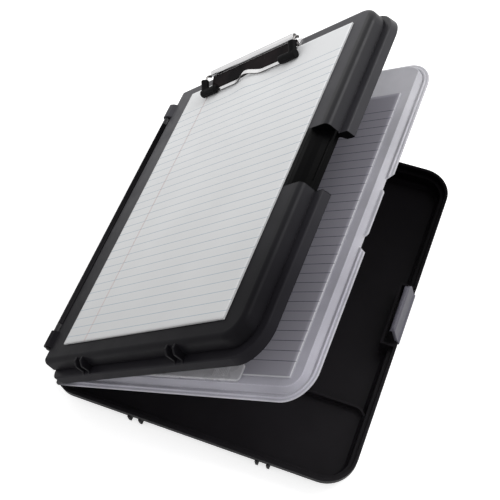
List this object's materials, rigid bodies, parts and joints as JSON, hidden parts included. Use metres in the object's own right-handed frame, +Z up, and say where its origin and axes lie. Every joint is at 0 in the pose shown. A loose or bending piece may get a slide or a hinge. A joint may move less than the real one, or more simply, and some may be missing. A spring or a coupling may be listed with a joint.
{
  "type": "storage clipboard box",
  "caption": "Shallow plastic tray with a lift-up see-through divider, a hinged writing cover with a sprung paper clip, and a side latch.",
  "frame": {"origin": "middle of the tray's flat base, on the surface it rests on", "axes": "+X from the hinge side to the latch side, +Y along the box from its front edge to the clip edge, +Z up"},
  "size_m": [0.282, 0.3222, 0.2274],
  "materials": {
    "smoked_plastic": "fine satin texture",
    "grey_plastic": "satin",
    "clear_plastic": "slightly frosted see-through",
    "paper": "uncoated, ruled",
    "steel": "bright drawn wire",
    "plated_steel": "bright plated sheet",
    "rubber": "matte"
  },
  "bodies": {
    "tray": {"tray_shell": "smoked_plastic", "hinge_pin_front": "steel", "hinge_pin_back": "steel", "latch_pin": "steel"},
    "divider": {"divider_panel": "clear_plastic", "sheet_retainer": "clear_plastic", "filed_sheet_stack": "paper", "filed_top_sheet": "paper"},
    "cover": {"cover_shell": "smoked_plastic", "writing_sheet_stack": "paper", "writing_top_sheet": "paper", "clip_base": "plated_steel", "clip_rivet_left": "plated_steel", "clip_rivet_right": "plated_steel", "clip_pin": "steel", "clip_spring": "steel"},
    "clip": {"clip_lever": "plated_steel", "clip_jaw": "plated_steel", "clip_boot_left": "rubber", "clip_boot_right": "rubber"},
    "latch": {"latch_lever": "grey_plastic"}
  },
  "joints": [
    {"name": "divider_hinge", "type": "hinge", "parent": "tray", "child": "divider", "pos_m": [-0.14125, 0, 0.0428], "axis": [0, -1, 0], "range_deg": [-32.7, 47.3]},
    {"name": "cover_hinge", "type": "hinge", "parent": "divider", "child": "cover", "pos_m": [-0.14125, 0, 0.0428], "axis": [0, -1, 0], "range_deg": [-11.4, 88.6]},
    {"name": "clip_lever_pivot", "type": "hinge", "parent": "cover", "child": "clip", "pos_m": [-0.05462, 0.1442, 0.13274], "axis": [-0.7181, 0, -0.6959], "range_deg": [0, 30], "stiffness_Nm_per_rad": 0.6, "springref_deg": -17.19},
    {"name": "latch_pivot", "type": "hinge", "parent": "tray", "child": "latch", "pos_m": [0.13355, 0.004, 0.0164], "axis": [0, 1, 0], "range_deg": [0, 47]}
  ]
}
